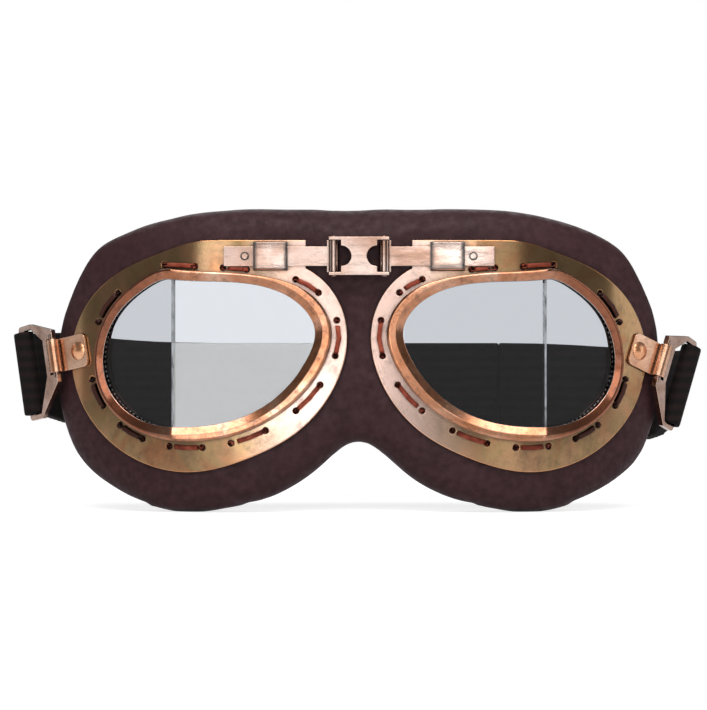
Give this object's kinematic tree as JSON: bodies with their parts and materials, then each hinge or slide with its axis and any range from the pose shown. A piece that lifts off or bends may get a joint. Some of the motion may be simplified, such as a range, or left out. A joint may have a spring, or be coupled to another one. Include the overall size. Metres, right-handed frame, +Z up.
{
  "type": "aviator goggles",
  "caption": "Aviator goggles: metal frames with angled glass laced to a padded leather mask, hinged sliding bridge, swinging strap loops and an elastic strap.",
  "frame": {"origin": "on the floor, under the middle of the width and depth with the strap on", "axes": "+X across the face to the viewer's right, +Y from the lenses back to the strap, +Z up"},
  "size_m": [0.2078, 0.086, 0.0892],
  "materials": {
    "aged_copper": "brushed, aged copper plate",
    "clear_glass": "clear, polished",
    "black_rubber": "matt",
    "brown_leather": "fine-grained, satin",
    "lace_leather": "smooth lace",
    "pad_foam": "open-cell foam",
    "black_cloth": "short-pile cloth",
    "black_elastic": "ribbed elastic webbing",
    "black_steel": "black enamel"
  },
  "bodies": {
    "left_eye": {"left_frame": "aged_copper", "left_rim": "aged_copper", "left_front_lens": "clear_glass", "left_side_lens": "clear_glass", "left_lens_divider": "black_rubber", "left_lens_gasket": "black_rubber", "left_eye_lining": "black_cloth", "left_bridge_clip": "aged_copper", "left_tab_rivet": "aged_copper", "left_lacing": "lace_leather", "left_pad_cover": "brown_leather", "left_pad_foam": "pad_foam", "left_pad_lining": "black_cloth", "nose_pad_cover": "brown_leather", "nose_pad_foam": "pad_foam", "nose_pad_lining": "black_cloth", "strap_left_side": "black_elastic", "strap_back": "black_elastic", "strap_return": "black_elastic"},
    "right_eye": {"right_frame": "aged_copper", "right_rim": "aged_copper", "right_front_lens": "clear_glass", "right_side_lens": "clear_glass", "right_lens_divider": "black_rubber", "right_lens_gasket": "black_rubber", "right_eye_lining": "black_cloth", "right_bridge_clip": "aged_copper", "right_tab_rivet": "aged_copper", "right_lacing": "lace_leather", "right_pad_cover": "brown_leather", "right_pad_foam": "pad_foam", "right_pad_lining": "black_cloth", "strap_right_side": "black_elastic"},
    "left_arm": {"left_bridge_arm": "aged_copper", "left_stop_stud": "aged_copper"},
    "right_arm": {"right_bridge_arm": "aged_copper", "right_stop_stud": "aged_copper"},
    "bridge_link": {"bridge_link": "aged_copper", "left_hinge_pin": "aged_copper", "right_hinge_pin": "aged_copper"},
    "left_tab": {"left_strap_tab": "aged_copper"},
    "right_tab": {"right_strap_tab": "aged_copper"},
    "left_loop": {"left_strap_loop": "aged_copper", "strap_left_end": "black_elastic"},
    "right_loop": {"right_strap_loop": "aged_copper", "strap_right_end": "black_elastic"},
    "strap_slider": {"strap_slider": "black_steel"}
  },
  "joints": [
    {"name": "nose_flex", "type": "hinge", "parent": "left_eye", "child": "right_eye", "pos_m": [0.0003, -0.02895, 0.0465], "axis": [0, 0, 1], "range_deg": [-6, 14], "stiffness_Nm_per_rad": 0.3, "deforming": ["nose_pad_cover", "nose_pad_foam", "nose_pad_lining", "strap_right_side"]},
    {"name": "left_arm_slide", "type": "slide", "parent": "left_eye", "child": "left_arm", "axis": [1, 0, 0], "range_m": [-0.00054, 0.00123]},
    {"name": "right_arm_slide", "type": "slide", "parent": "right_eye", "child": "right_arm", "axis": [-1, 0, 0], "range_m": [-0.00054, 0.00123]},
    {"name": "link_hinge", "type": "hinge", "parent": "left_arm", "child": "bridge_link", "pos_m": [-0.007, -0.03905, 0.0746], "axis": [0, 0, 1], "range_deg": [-3.1, 7.1]},
    {"name": "left_tab_swivel", "type": "hinge", "parent": "left_eye", "child": "left_tab", "pos_m": [-0.0823, -0.02219, 0.0472], "axis": [-0.5718, -0.8204, 0], "range_deg": [-11, 8], "deforming": ["strap_left_side"]},
    {"name": "left_loop_swing", "type": "hinge", "parent": "left_tab", "child": "left_loop", "pos_m": [-0.09031, -0.01906, 0.04565], "axis": [0.1495, -0.1042, -0.9833], "range_deg": [-30, 3], "deforming": ["strap_left_side"]},
    {"name": "right_tab_swivel", "type": "hinge", "parent": "right_eye", "child": "right_tab", "pos_m": [0.0829, -0.02219, 0.0472], "axis": [0.5718, -0.8204, 0], "range_deg": [-2, 16], "deforming": ["strap_right_side"]},
    {"name": "right_loop_swing", "type": "hinge", "parent": "right_tab", "child": "right_loop", "pos_m": [0.09057, -0.01931, 0.04415], "axis": [0.294, 0.2049, 0.9336], "range_deg": [-40, 0], "deforming": ["strap_right_side"]},
    {"name": "slider_slide", "type": "slide", "parent": "left_eye", "child": "strap_slider", "axis": [1, 0, 0], "range_m": [-0.03, 0.03], "deforming": ["strap_return"]}
  ],
  "couplings": [
    {"joint": "left_arm_slide", "follows": "nose_flex", "m_per_rad": 0.0049407},
    {"joint": "right_arm_slide", "follows": "nose_flex", "m_per_rad": 0.0049407},
    {"joint": "link_hinge", "follows": "nose_flex", "ratio": 0.5}
  ]
}
